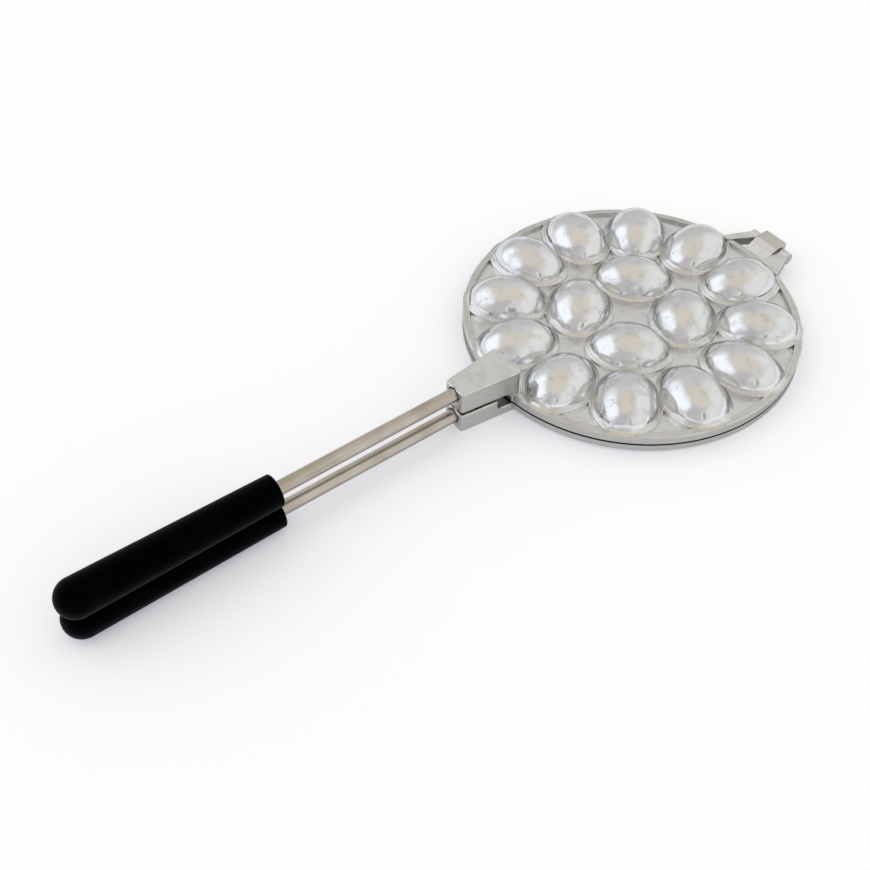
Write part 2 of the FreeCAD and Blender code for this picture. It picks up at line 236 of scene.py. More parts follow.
def white_paper():
    """White paper, with a glow for camera, glossy and transmission rays only."""
    material, tree, output = blank_material("white_paper")
    paper = add(tree, "ShaderNodeBsdfDiffuse", inputs={"Color": linear(PAPER_COLOUR)})
    path = add(tree, "ShaderNodeLightPath").outputs
    mirrored = add(tree, "ShaderNodeMath", {"operation": "ADD"},
                   {0: path["Is Glossy Ray"], 1: path["Is Transmission Ray"]})
    seen = add(tree, "ShaderNodeMath", {"operation": "ADD", "use_clamp": True},
               {0: path["Is Camera Ray"], 1: mirrored})
    strength = add(tree, "ShaderNodeMath", PRODUCT, {0: seen, 1: PAPER_GLOW})
    glow = add(tree, "ShaderNodeEmission",
               inputs={"Color": linear(GLOW_COLOUR), "Strength": strength})
    both = add(tree, "ShaderNodeAddShader", inputs={0: paper, 1: glow})
    tree.links.new(both.outputs[0], output.inputs["Surface"])
    return material


paper = white_paper()
print("paper glow:", PAPER_GLOW)

# %% Where the mold rests
TONGUE_REST_Y = 103.6 * MM
REST_CLEARANCE = 0.02 * MM


def floor_tilt():
    """The height of the floor at y = 0 and its slope along y, from where the mold rests."""
    grip_low, grip_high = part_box("lower_grip")
    grip_y = grip_low.y + (grip_high.z - grip_low.z) / 2
    grip_z = grip_low.z - REST_CLEARANCE
    slope = -grip_z / (TONGUE_REST_Y - grip_y)
    return -TONGUE_REST_Y * slope, slope


start, slope = floor_tilt()
print("the floor tips by degrees:", round(math.degrees(math.atan(slope)), 2))

# %% Floor
SWEEP_RADIUS = 12.0
SWEEP_HEIGHT = 1.0
SWEEP_STEPS = 12
SWEEP_SIDES = 96


def sweep_points():
    """The middle of the sheet, then rings of points that climb a quarter circle at its edge."""
    points = [(0.0, 0.0, start)]
    for step in range(SWEEP_STEPS + 1):
        turn = math.pi / 2 * step / SWEEP_STEPS
        radius = SWEEP_RADIUS - SWEEP_HEIGHT * (1 - math.sin(turn))
        height = SWEEP_HEIGHT * (1 - math.cos(turn))
        for side in range(SWEEP_SIDES):
            around = 2 * math.pi * side / SWEEP_SIDES
            y = radius * math.sin(around)
            points.append((radius * math.cos(around), y, start + y * slope + height))
    return points


def sweep_faces():
    """Triangles round the middle, and four-sided faces between the rings."""
    faces = []
    for side in range(SWEEP_SIDES):
        after = (side + 1) % SWEEP_SIDES
        faces.append((0, 1 + side, 1 + after))
        for ring in range(SWEEP_STEPS):
            low = 1 + ring * SWEEP_SIDES
            high = low + SWEEP_SIDES
            faces.append((low + side, high + side, high + after, low + after))
    return faces


def make_floor():
    """A round sheet that is flat in the middle and bends up at its edge."""
    mesh = bpy.data.meshes.new("floor")
    mesh.from_pydata(sweep_points(), [], sweep_faces())
    mesh.shade_smooth()
    mesh.materials.append(paper)
    floor = bpy.data.objects.new("floor", mesh)
    scene.collection.objects.link(floor)
    return floor


floor = make_floor()
print("the floor has", len(floor.data.polygons), "faces")

# %% [markdown]
# ## Cast aluminium
# Both plates are poured in aluminium. The nuts are polished, so they mirror
# the room. The flat pockets, the rims and the tops of the handle blocks keep
# a satin skin, and the outer sides, which are only trimmed, are rougher,
# and their greyer colour is painted shade.
# The hollowed foot of each nut is hard to reach with a polishing wheel, so
# it stays a little rougher, and its darker colour is painted shade that
# matches it to the dim lower part of the nut. One material holds all of
# that. First come its places, read from the height, the distance from the
# middle and the way the surface faces.

# %% The nuts and their feet
POLISH_RADIUS = 92 * MM
POLISH_FADE = 1.6 * MM
FOOT_FADE = 0.5 * MM
BLOCK_END_Y = -89.7 * MM


def distance_from_middle(tree, place):
    """How far a point is from the plate's middle, seen from above."""
    plan = add(tree, "ShaderNodeVectorMath", PRODUCT, {0: place, 1: (1, 1, 0)})
    return add(tree, "ShaderNodeVectorMath", {"operation": "LENGTH"}, {0: plan})


def nut_places(tree, place, distance, foot_z, foot_top_z):
    """1 inside the rim, 1 on the nuts, and 1 on the hollowed feet of the nuts."""
    parts = add(tree, "ShaderNodeSeparateXYZ", inputs={"Vector": place}).outputs
    limits = {"From Min": POLISH_RADIUS, "From Max": POLISH_RADIUS - POLISH_FADE}
    within = add(tree, "ShaderNodeMapRange", EASED, {"Value": distance, **limits})
    clear = add(tree, "ShaderNodeMath", {"operation": "GREATER_THAN"}, {0: parts["Y"], 1: BLOCK_END_Y})
    inside = add(tree, "ShaderNodeMath", PRODUCT, {0: within, 1: clear})
    limits = {"From Min": foot_z, "From Max": foot_z + FOOT_FADE}
    raised = add(tree, "ShaderNodeMapRange", EASED, {"Value": parts["Z"], **limits})
    nuts = add(tree, "ShaderNodeMath", PRODUCT, {0: inside, 1: raised})
    # On the feet this share darkens the colour, as painted shade, and makes the metal rougher.
    limits = {"From Min": foot_top_z, "From Max": foot_top_z - 2 * FOOT_FADE}
    low = add(tree, "ShaderNodeMapRange", EASED, {"Value": parts["Z"], **limits})
    foot = add(tree, "ShaderNodeMath", PRODUCT, {0: nuts, 1: low})
    return inside, nuts, foot


print("the polish ends this far from the middle, in mm:", round(POLISH_RADIUS / MM, 1))

# %% The rim and the trimmed sides
RIM_LIMITS = {"From Min": 88.5 * MM, "From Max": 90.5 * MM}
RIM_TOP_Z = 10.6 * MM
# The Z part of the normal, up or down: 1 on a level face and 0 on a wall.
SIDEWAYS_LIMITS = {"From Min": 0.75, "From Max": 0.25}


def rim_place(tree, height, distance):
    """1 on the rim, but not on the handle block above it."""
    at_rim = add(tree, "ShaderNodeMapRange", EASED, {"Value": distance, **RIM_LIMITS})
    below = add(tree, "ShaderNodeMath", {"operation": "LESS_THAN"}, {0: height, 1: RIM_TOP_Z})
    return add(tree, "ShaderNodeMath", PRODUCT, {0: at_rim, 1: below})


def shaded_trim_place(tree, facing, inside):
    """1 on the walls outside the polished area, which are trimmed and get painted shade."""
    upright = add(tree, "ShaderNodeMath", {"operation": "ABSOLUTE"}, {0: facing})
    sideways = add(tree, "ShaderNodeMapRange", EASED, {"Value": upright, **SIDEWAYS_LIMITS})
    outside = add(tree, "ShaderNodeMath", {"operation": "SUBTRACT"}, {0: 1.0, 1: inside})
    return add(tree, "ShaderNodeMath", PRODUCT, {0: sideways, 1: outside})


print("the rim's tint starts this far out, in mm:", round(RIM_LIMITS["From Min"] / MM, 1))

# %% Painted shade in the parting line
PLATE_RADIUS = 95 * MM
PARTING_Z = 4.8 * MM
PARTING_SHADE_REACH = 0.62 * MM
PARTING_SHADE_WIDTH = 2.0 * MM
PARTING_SHADE_OVERLAP = 0.1 * MM


def parting_shade_ring(tree, height, distance):
    """1 in the narrow ring of painted shade, between the two faces that meet."""
    offset = add(tree, "ShaderNodeMath", {"operation": "SUBTRACT"}, {0: height, 1: PARTING_Z})
    apart = add(tree, "ShaderNodeMath", {"operation": "ABSOLUTE"}, {0: offset})
    level = add(tree, "ShaderNodeMath", {"operation": "LESS_THAN"}, {0: apart, 1: PARTING_SHADE_REACH})
    plate = add(tree, "ShaderNodeMath", {"operation": "LESS_THAN"},
                {0: distance, 1: PLATE_RADIUS + PARTING_SHADE_OVERLAP})
    limits = {"From Min": PLATE_RADIUS - PARTING_SHADE_WIDTH, "From Max": PLATE_RADIUS - PARTING_SHADE_WIDTH / 2}
    outer = add(tree, "ShaderNodeMapRange", EASED, {"Value": distance, **limits})
    both = add(tree, "ShaderNodeMath", PRODUCT, {0: level, 1: plate})
    return add(tree, "ShaderNodeMath", PRODUCT, {0: both, 1: outer})


# The line whose height is printed here is the painted shade in the parting line.
print("the oil line is this high, in mm:", round(2 * PARTING_SHADE_REACH / MM, 2))

# %% [markdown]
# Casting leaves its own marks: thin laps where the metal folded as it ran
# in, cloudy patches, and pits where gas was caught. The laps follow the
# middle value of a slow noise, which winds like a contour line on a map.
# The pits are the cores of some cells of a Voronoi pattern. Both show only
# where the clouds, which are a noise too, are thick enough.

# %% Marks that casting leaves
CLOUD_SIZE = 6 * MM
LAP_SIZE = 10 * MM
# How far the noise may be from its middle value on a lap.
LAP_WIDTH = 0.012
LAP_CLOUDS = {"From Min": 0.5, "From Max": 0.62}
PIT_SPACING = 3.6 * MM
PIT_RADIUS = 0.38 * MM
# The flat bottom of a pit, as a share of its radius.
PIT_FLOOR = 0.4
PIT_CLOUDS = {"From Min": 0.45, "From Max": 0.55}


def casting_laps(tree, place, clouds):
    """Thin winding lines where the metal folded as it ran in."""
    slow = add(tree, "ShaderNodeTexNoise", inputs={"Vector": place, "Scale": 1 / LAP_SIZE})
    middle = add(tree, "ShaderNodeMath", {"operation": "SUBTRACT"}, {0: slow, 1: 0.5})
    apart = add(tree, "ShaderNodeMath", {"operation": "ABSOLUTE"}, {0: middle})
    line = add(tree, "ShaderNodeMapRange", EASED, {"Value": apart, "From Min": LAP_WIDTH, "From Max": 0.0})
    some = add(tree, "ShaderNodeMapRange", EASED, {"Value": clouds, **LAP_CLOUDS})
    return add(tree, "ShaderNodeMath", PRODUCT, {0: line, 1: some})


def casting_pits(tree, place, clouds):
    """Small round pits, in the cloudy patches only."""
    cells = add(tree, "ShaderNodeTexVoronoi", inputs={"Vector": place, "Scale": 1 / PIT_SPACING})
    edge = PIT_RADIUS / PIT_SPACING
    limits = {"From Min": edge, "From Max": edge * PIT_FLOOR}
    core = add(tree, "ShaderNodeMapRange", EASED, {"Value": cells, **limits})
    some = add(tree, "ShaderNodeMapRange", EASED, {"Value": clouds, **PIT_CLOUDS})
    return add(tree, "ShaderNodeMath", PRODUCT, {0: core, 1: some})


print("a pit takes up this much of its cell's width:", round(2 * PIT_RADIUS / PIT_SPACING, 2))

# %% [markdown]
# The relief is a stack of bumps: each layer tips the normal that the layer
# before it left. The Bevel node rounds the sharp edges of the CAD for the
# light only, as a file or a tumbler would on the real casting. Real
# scratches and cast grain are 0.1 to 0.2 mm across, which is too fine to
# show, so both are drawn several times coarser.

# %% Relief of the casting
RIM_EDGE_ROUND = 0.45 * MM
BLOCK_EDGE_ROUND = 0.9 * MM
BLOCKS_FROM = PLATE_RADIUS + 0.5 * MM
WAVE_SIZE = 12 * MM
WAVE_HEIGHT = 0.9 * MM
LAP_HEIGHT = 0.12 * MM
PIT_DEPTH = 0.15 * MM
SCRATCH_SIZE = 0.8 * MM
SCRATCH_HEIGHT = 0.015 * MM
GRAIN_SIZE = 1.4 * MM
GRAIN_HEIGHT = 0.02 * MM


def casting_relief(tree, place, distance, polished, laps, pits):
    """The normal after rounded edges, slow waves, laps, pits, scratches and grain."""
    beyond = add(tree, "ShaderNodeMath", {"operation": "GREATER_THAN"}, {0: distance, 1: BLOCKS_FROM})
    edge = add(tree, "ShaderNodeMix", inputs={"Factor": beyond, "A": RIM_EDGE_ROUND, "B": BLOCK_EDGE_ROUND})
    normal = add(tree, "ShaderNodeBevel", inputs={"Radius": edge})
    waves = add(tree, "ShaderNodeTexNoise",
                inputs={"Vector": place, "Scale": 1 / WAVE_SIZE, "Detail": 1.0})
    scratches = add(tree, "ShaderNodeTexNoise",
                    inputs={"Vector": place, "Scale": 1 / SCRATCH_SIZE, "Detail": 4.0})
    grain = add(tree, "ShaderNodeTexNoise",
                inputs={"Vector": place, "Scale": 1 / GRAIN_SIZE, "Detail": 3.0})
    waves = add(tree, "ShaderNodeMath", PRODUCT, {0: waves, 1: polished})
    laps = add(tree, "ShaderNodeMath", PRODUCT, {0: laps, 1: polished})
    layers = ((waves, WAVE_HEIGHT), (laps, LAP_HEIGHT), (pits, -PIT_DEPTH),
              (scratches, SCRATCH_HEIGHT), (grain, GRAIN_HEIGHT))
    for pattern, depth in layers:
        normal = add(tree, "ShaderNodeBump", inputs={"Height": pattern, "Distance": depth, "Normal": normal})
    return normal


print("the casting's waves are at most this high, in mm:", round(WAVE_HEIGHT / MM, 1))

# %% [markdown]
# Colour and roughness are mixes of the same places and marks. Bare cast
# aluminium reflects about 70% of the light, a little less where it is
# satin, and its oxide dulls what it mirrors at a slant. The trimmed sides,
# the feet of the nuts, the pits and the parting line are painted darker,
# as painted shade. Polished metal has a roughness from 0.11 to 0.24, satin
# is at the dull end of that, a trimmed side has nearly 0.4, and the painted
# shade in the parting line is black and dull.

# %% Colour and roughness of the casting
# The tints of the trimmed sides, the feet, the pits and the parting line are darker as painted shade.
CAST_TINTS = {"rim": "#DAD9D6", "trim_and_shade": "#BBBBB8", "nuts": "#E5E6E8", "foot": "#D9D9D7",
              "cloudy": "#B4B4B2", "shaded_pits": "#6B6A64", "painted_parting_shade": "#0C0A08"}
# How strongly the clouds tint the metal, and how strongly painted shade darkens the pits and the parting
# line.
CLOUD_TINTING = {"From Min": 0.45, "From Max": 0.75, "To Max": 0.35}
PIT_SHADE_STRENGTH = 0.8
PARTING_SHADE_STRENGTH = 0.95
SATIN_ROUGHNESS = 0.235
TRIMMED_ROUGHNESS = 0.37
FOOT_ROUGHNESS = 0.27
PARTING_SHADE_ROUGHNESS = 0.6
POLISH_ROUGHNESS = {"From Min": 0.40, "From Max": 0.72, "To Min": 0.11, "To Max": 0.24}


def casting_colour(tree, skin, shares):
    """The skin's colour, with each tint mixed over it by its share."""
    colour = linear(skin)
    for part, tint in CAST_TINTS.items():
        colour = add(tree, "ShaderNodeMix", COLOURS, {"Factor": shares[part], "A": colour, "B": linear(tint)})
    return colour


def casting_roughness(tree, shares, clouds):
    """Satin at first, then rougher on trimmed sides and oil, and uneven on the polished nuts."""
    polish = add(tree, "ShaderNodeMapRange", EASED, {"Value": clouds, **POLISH_ROUGHNESS})
    rough = SATIN_ROUGHNESS
    for part, value in (("trim_and_shade", TRIMMED_ROUGHNESS), ("nuts", polish), ("foot", FOOT_ROUGHNESS),
                        ("parting_shade", PARTING_SHADE_ROUGHNESS)):
        rough = add(tree, "ShaderNodeMix", inputs={"Factor": shares[part], "A": rough, "B": value})
    return rough


print("tints of the casting:", ", ".join(CAST_TINTS))

# %% Cast aluminium
SKIN_AT_A_SLANT = "#E2E2E4"


def cast_shares(tree, place, facing, foot_z, foot_top_z):
    """How much each place and mark counts at a point, and the distance and clouds behind them."""
    distance = distance_from_middle(tree, place)
    height = add(tree, "ShaderNodeSeparateXYZ", inputs={"Vector": place}).outputs["Z"]
    clouds = add(tree, "ShaderNodeTexNoise",
                 inputs={"Vector": place, "Scale": 1 / CLOUD_SIZE, "Detail": 5.0})
    inside, nuts, foot = nut_places(tree, place, distance, foot_z, foot_top_z)
    parting_shade = parting_shade_ring(tree, height, distance)
    pits = casting_pits(tree, place, clouds)
    shares = {"nuts": nuts, "foot": foot, "parting_shade": parting_shade, "pits": pits,
              "rim": rim_place(tree, height, distance),
              "trim_and_shade": shaded_trim_place(tree, facing, inside),
              "cloudy": add(tree, "ShaderNodeMapRange", EASED, {"Value": clouds, **CLOUD_TINTING}),
              # The pits are darkened as painted shade in their hollows.
              "shaded_pits": add(tree, "ShaderNodeMath", PRODUCT, {0: pits, 1: PIT_SHADE_STRENGTH}),
              "painted_parting_shade": add(tree, "ShaderNodeMath", PRODUCT, {0: parting_shade, 1: PARTING_SHADE_STRENGTH})}
    return shares, distance, clouds


def cast_aluminium(name, skin, foot_z, foot_top_z):
    """The metal of one plate: its skin's colour, and where its nuts start and turn bright."""
    material, tree, output = blank_material(name)
    coordinates = add(tree, "ShaderNodeTexCoord").outputs
    place = coordinates["Object"]
    facing = add(tree, "ShaderNodeSeparateXYZ", inputs={"Vector": coordinates["Normal"]}).outputs["Z"]
    shares, distance, clouds = cast_shares(tree, place, facing, foot_z, foot_top_z)
    laps = casting_laps(tree, place, clouds)
    normal = casting_relief(tree, place, distance, shares["nuts"], laps, shares["pits"])
    metal = add(tree, "ShaderNodeBsdfPrincipled",
                inputs={"Base Color": casting_colour(tree, skin, shares), "Metallic": 1.0,
                        "Roughness": casting_roughness(tree, shares, clouds), "Normal": normal,
                        "Specular Tint": linear(SKIN_AT_A_SLANT)})
    tree.links.new(metal.outputs[0], output.inputs["Surface"])
    return material


print("cast aluminium mirrors at a slant:", SKIN_AT_A_SLANT)

# %% Dress both plates
UPPER_SKIN = "#E8E8E7"
LOWER_SKIN = "#D9D4D0"
# The heights where a nut's foot starts and where it turns bright.
UPPER_FOOT = (9.9 * MM, 12.2 * MM)
LOWER_FOOT = (4.5 * MM, 5.6 * MM)


def dress(names, material):
    """Gives CAD nodes a material in place of their plain one."""
    for name in names:
        materials = nodes[name].data.materials
        materials.clear()
        materials.append(material)


upper_metal = cast_aluminium("cast_aluminium_upper", UPPER_SKIN, *UPPER_FOOT)
lower_metal = cast_aluminium("cast_aluminium_lower", LOWER_SKIN, *LOWER_FOOT)
dress(["upper_plate"], upper_metal)
dress(["lower_plate"], lower_metal)
print("cast aluminium has", len(upper_metal.node_tree.nodes), "nodes")

# %% [markdown]
# ## Drawn steel
# The rods are plain drawn steel. Drawing leaves fine lines along the length
# and years of heat leave a warm brown-grey tint. The underside is painted
# darker, as painted shade. The lines are noise stretched along the rod, and
# they are drawn about six times wider than real ones, or they wouldn't show.

# %% Drawn steel
STEEL_COLOUR = "#CAC4BB"
# The underside's tint is painted shade.
STEEL_TINTS = {"tinted": "#B9B0A3", "lined": "#948B80", "shaded_underside": "#8C867F"}
STREAK_WIDTH = 0.6 * MM
STREAK_LENGTH = 45 * MM
STREAK_HEIGHT = 0.03 * MM
STREAK_TINTING = {"From Min": 0.45, "From Max": 0.75, "To Max": 0.5}
TINT_SIZE = 22 * MM
TINT_LIMITS = {"From Min": 0.35, "From Max": 0.65}
SHADED_UNDERSIDE_LIMITS = {"From Min": 0.35, "From Max": -0.35}
STEEL_ROUGHNESS = {"From Min": 0.3, "From Max": 0.7, "To Min": 0.26, "To Max": 0.38}
ROD_EDGE_ROUND = 0.3 * MM


def drawn_steel():
    """Steel with fine lines along Y, a patchy tint and an underside darkened as painted shade."""
    material, tree, output = blank_material("drawn_steel")
    coordinates = add(tree, "ShaderNodeTexCoord").outputs
    place = coordinates["Object"]
    facing = add(tree, "ShaderNodeSeparateXYZ", inputs={"Vector": coordinates["Normal"]}).outputs["Z"]
    stretched = add(tree, "ShaderNodeVectorMath", PRODUCT,
                    {0: place, 1: (1 / STREAK_WIDTH, 1 / STREAK_LENGTH, 1 / STREAK_WIDTH)})
    streaks = add(tree, "ShaderNodeTexNoise", inputs={"Vector": stretched, "Scale": 1.0, "Detail": 3.0})
    patches = add(tree, "ShaderNodeTexNoise", inputs={"Vector": place, "Scale": 1 / TINT_SIZE})
    shares = {"tinted": add(tree, "ShaderNodeMapRange", EASED, {"Value": patches, **TINT_LIMITS}),
              "lined": add(tree, "ShaderNodeMapRange", EASED, {"Value": streaks, **STREAK_TINTING}),
              "shaded_underside": add(tree, "ShaderNodeMapRange", EASED, {"Value": facing, **SHADED_UNDERSIDE_LIMITS})}
    colour = linear(STEEL_COLOUR)
    for part, tint in STEEL_TINTS.items():
        colour = add(tree, "ShaderNodeMix", COLOURS, {"Factor": shares[part], "A": colour, "B": linear(tint)})
    rough = add(tree, "ShaderNodeMapRange", EASED, {"Value": streaks, **STEEL_ROUGHNESS})
    rounded = add(tree, "ShaderNodeBevel", inputs={"Radius": ROD_EDGE_ROUND})
    normal = add(tree, "ShaderNodeBump",
                 inputs={"Height": streaks, "Distance": STREAK_HEIGHT, "Normal": rounded})
    metal = add(tree, "ShaderNodeBsdfPrincipled",
                inputs={"Base Color": colour, "Metallic": 1.0, "Roughness": rough, "Normal": normal})
    tree.links.new(metal.outputs[0], output.inputs["Surface"])
    return material


dress(["lower_rod", "upper_rod", "hinge_pin"], drawn_steel())
print("streaks in mm:", STREAK_WIDTH / MM, "by", STREAK_LENGTH / MM)

# %% [markdown]
# ## Grip rubber
# The grips are soft black rubber, dip-moulded over the rods. Carbon black
# leaves almost no colour, and a matt skin traps nearly all of the softbox's
# glare, except for a faint bluish bloom near the outline. Its IOR is the
# usual 1.5, so the specular level alone holds the glare down. The skin is
# finely pebbled, drawn here about three times coarser than it is, and dust
# dulls it in places.

# %% Grip rubber
RUBBER_COLOUR = "#000001"
DUST_COLOUR = "#030304"
BLOOM_COLOUR = "#B4BEC8"
BLOOM = 0.22
BLOOM_ROUGHNESS = 0.4
GLARE = 0.006
PEBBLE_SIZE = 0.9 * MM
PEBBLE_HEIGHT = 0.03 * MM
DUST_SIZE = 12 * MM
DUST_LIMITS = {"From Min": 0.45, "From Max": 0.75}
RUBBER_ROUGHNESS = {"From Min": 0.35, "From Max": 0.65, "To Min": 0.42, "To Max": 0.52}
GRIP_EDGE_ROUND = 0.4 * MM


def grip_rubber():
    """Matt black rubber with dust, fine pebbles and a faint bloom."""
    material, tree, output = blank_material("grip_rubber")
    place = add(tree, "ShaderNodeTexCoord").outputs["Object"]
    pebbles = add(tree, "ShaderNodeTexNoise", inputs={"Vector": place, "Scale": 1 / PEBBLE_SIZE})
    dust = add(tree, "ShaderNodeTexNoise",
               inputs={"Vector": place, "Scale": 1 / DUST_SIZE, "Detail": 4.0})
    dusty = add(tree, "ShaderNodeMapRange", EASED, {"Value": dust, **DUST_LIMITS})
    colour = add(tree, "ShaderNodeMix", COLOURS,
                 {"Factor": dusty, "A": linear(RUBBER_COLOUR), "B": linear(DUST_COLOUR)})
    rough = add(tree, "ShaderNodeMapRange", EASED, {"Value": dust, **RUBBER_ROUGHNESS})
    rounded = add(tree, "ShaderNodeBevel", inputs={"Radius": GRIP_EDGE_ROUND})
    normal = add(tree, "ShaderNodeBump",
                 inputs={"Height": pebbles, "Distance": PEBBLE_HEIGHT, "Normal": rounded})
    rubber = add(tree, "ShaderNodeBsdfPrincipled",
                 inputs={"Base Color": colour, "Roughness": rough, "Specular IOR Level": GLARE,
                         "Sheen Weight": BLOOM, "Sheen Roughness": BLOOM_ROUGHNESS,
                         "Sheen Tint": linear(BLOOM_COLOUR), "Normal": normal})
    tree.links.new(rubber.outputs[0], output.inputs["Surface"])
    return material


dress(["lower_grip", "upper_grip"], grip_rubber())
print("pebbles in mm:", round(PEBBLE_SIZE / MM, 1))

# %% [markdown]
# ## Walnut veins in the cavities
# Inside the upper plate each cavity is carved like a walnut shell, so that
# the baked dough comes out veined. The CAD keeps the cavities smooth. Each
# carving is therefore a thin shell that lines its cavity. Sixteen of them
# follow one rule, which is work for Geometry Nodes: a ball is folded into
# itself to make a closed shell, copies stand on two rings, and a cell
# pattern raises the veins. The pattern is four-dimensional, and each nut
# takes its own slice of it, so no two are alike.

# %% Sizes of the carving
# Each ring's radius, its number of nuts, where the first one stands and how
# far each nut is turned from pointing outwards, in degrees.
NUT_RINGS = {"Outer": (70.7 * MM, 12, 15.0, 0.0), "Inner": (29.1 * MM, 4, 45.0, 90.0)}
# The shells start just above the middle of the parting line. A cavity's
# sizes are its half length, half width and height above that. The outer
# skin is sunk a little into the metal, and the inner skin stands off it.
SHELL_RISE = 0.55 * MM
SHELL_BASE_Z = PARTING_Z + SHELL_RISE
CAVITY_HALF_SIZES = (19.2 * MM, 14.4 * MM, 15.3 * MM - SHELL_RISE)
SHELL_SUNK = 0.25 * MM
SHELL_WALL = 0.55 * MM
VEIN_HEIGHT = 0.85 * MM
VEIN_SPACING = 5.2 * MM
VEIN_SEED = 7


def named_sizes():
    """Every size of the carving, by the name that the tree's input has."""
    half_length, half_width, height = CAVITY_HALF_SIZES
    sizes = {"Half length": half_length, "Half width": half_width, "Height": height,
             "Base": SHELL_BASE_Z, "Sunk": SHELL_SUNK, "Wall": SHELL_WALL,
             "Vein height": VEIN_HEIGHT, "Vein spacing": VEIN_SPACING, "Seed": VEIN_SEED}
    for ring, (radius, count, start, turn) in NUT_RINGS.items():
        sizes[ring + " radius"] = radius
        sizes[ring + " count"] = count
        sizes[ring + " start"] = math.radians(start)
        sizes[ring + " turn"] = math.radians(turn)
    return sizes


numbers = named_sizes()
print("the carving has", len(numbers), "named sizes")

# %% The tree and its named inputs
def empty_tree(name):
    """A tree with one input for each size, one for the finish, and the geometry out."""
    tree = bpy.data.node_groups.new(name, "GeometryNodeTree")
    for label, value in numbers.items():
        kind = "NodeSocketInt" if isinstance(value, int) else "NodeSocketFloat"
        tree.interface.new_socket(label, in_out="INPUT", socket_type=kind)
    tree.interface.new_socket("Finish", in_out="INPUT", socket_type="NodeSocketMaterial")
    tree.interface.new_socket("Geometry", in_out="OUTPUT", socket_type="NodeSocketGeometry")
    return tree


tree = empty_tree("walnut_carving")
sizes = add(tree, "NodeGroupInput").outputs
print("tree inputs:", len(sizes) - 1)

# %% [markdown]
# The way down from the ball's pole tells its parts apart. The first quarter
# becomes the outer skin, sunk into the metal. The rest goes back up from
# the rim as the inner skin, and is marked, because only that carries veins.
# An angle of 0 is the top of the nut, and 90 degrees is its rim.

# %% The fold
OUTER_SHARE = 0.25


def fold_angle(fallen):
    """The nut's own angle for a share of the way down the ball."""
    outer = add(tree, "ShaderNodeMath", PRODUCT, {0: fallen, 1: math.pi / 2 / OUTER_SHARE})
    rest = add(tree, "ShaderNodeMath", {"operation": "SUBTRACT"}, {0: 1.0, 1: fallen})
    inner = add(tree, "ShaderNodeMath", PRODUCT, {0: rest, 1: math.pi / 2 / (1 - OUTER_SHARE)})
    return add(tree, "ShaderNodeMath", {"operation": "MINIMUM"}, {0: outer, 1: inner})


def folded_place(ball_place, fallen, inner):
    """Where a point of the ball goes: onto the cavity's oval, a wall thinner inside."""
    parts = add(tree, "ShaderNodeSeparateXYZ", inputs={"Vector": ball_place}).outputs
    around = add(tree, "ShaderNodeMath", {"operation": "ARCTAN2"}, {0: parts["Y"], 1: parts["X"]})
    angle = fold_angle(fallen)
    out = add(tree, "ShaderNodeMath", {"operation": "SINE"}, {0: angle})
    up = add(tree, "ShaderNodeMath", {"operation": "COSINE"}, {0: angle})
    east = add(tree, "ShaderNodeMath", {"operation": "COSINE"}, {0: around})
    north = add(tree, "ShaderNodeMath", {"operation": "SINE"}, {0: around})
    along = add(tree, "ShaderNodeMath", PRODUCT, {0: out, 1: east})
    across = add(tree, "ShaderNodeMath", PRODUCT, {0: out, 1: north})
    thinner = add(tree, "ShaderNodeMath", PRODUCT, {0: sizes["Wall"], 1: -1.0})
    grow = add(tree, "ShaderNodeMix", inputs={"Factor": inner, "A": sizes["Sunk"], "B": thinner})
    halves = add(tree, "ShaderNodeCombineXYZ",
                 inputs={"X": sizes["Half length"], "Y": sizes["Half width"], "Z": sizes["Height"]})
    ways = add(tree, "ShaderNodeCombineXYZ", inputs={"X": along, "Y": across, "Z": up})
    skin = add(tree, "ShaderNodeVectorMath", {"operation": "ADD"}, {0: halves, 1: grow})
    return add(tree, "ShaderNodeVectorMath", PRODUCT, {0: ways, 1: skin})


print("share of the ball that becomes outer skin:", OUTER_SHARE)

# %% One folded shell
SHELL_SEGMENTS = 88
SHELL_RINGS = 60
RIM_MARGIN = 0.001


def folded_shell():
    """A closed thin shell, which remembers where its points stand in the nut."""
    ball = add(tree, "GeometryNodeMeshUVSphere",
               inputs={"Segments": SHELL_SEGMENTS, "Rings": SHELL_RINGS, "Radius": 1.0})
    place = add(tree, "GeometryNodeInputPosition")
    height = add(tree, "ShaderNodeSeparateXYZ", inputs={"Vector": place}).outputs["Z"]
    tilt = add(tree, "ShaderNodeMath", {"operation": "ARCCOSINE"}, {0: height})
    fallen = add(tree, "ShaderNodeMath", {"operation": "DIVIDE"}, {0: tilt, 1: math.pi})
    inner = add(tree, "ShaderNodeMath", {"operation": "GREATER_THAN"},
                {0: fallen, 1: OUTER_SHARE + RIM_MARGIN})
    marked = add(tree, "GeometryNodeStoreNamedAttribute", {"data_type": "FLOAT"},
                 {"Geometry": ball, "Name": "inner", "Value": inner})
    folded = add(tree, "GeometryNodeSetPosition",
                 inputs={"Geometry": marked, "Position": folded_place(place, fallen, inner)})
    return add(tree, "GeometryNodeStoreNamedAttribute", {"data_type": "FLOAT_VECTOR"},
               {"Geometry": folded, "Name": "nut_place", "Value": place})


shell = folded_shell()
print("each shell has", SHELL_SEGMENTS * (SHELL_RINGS - 1) + 2, "points")

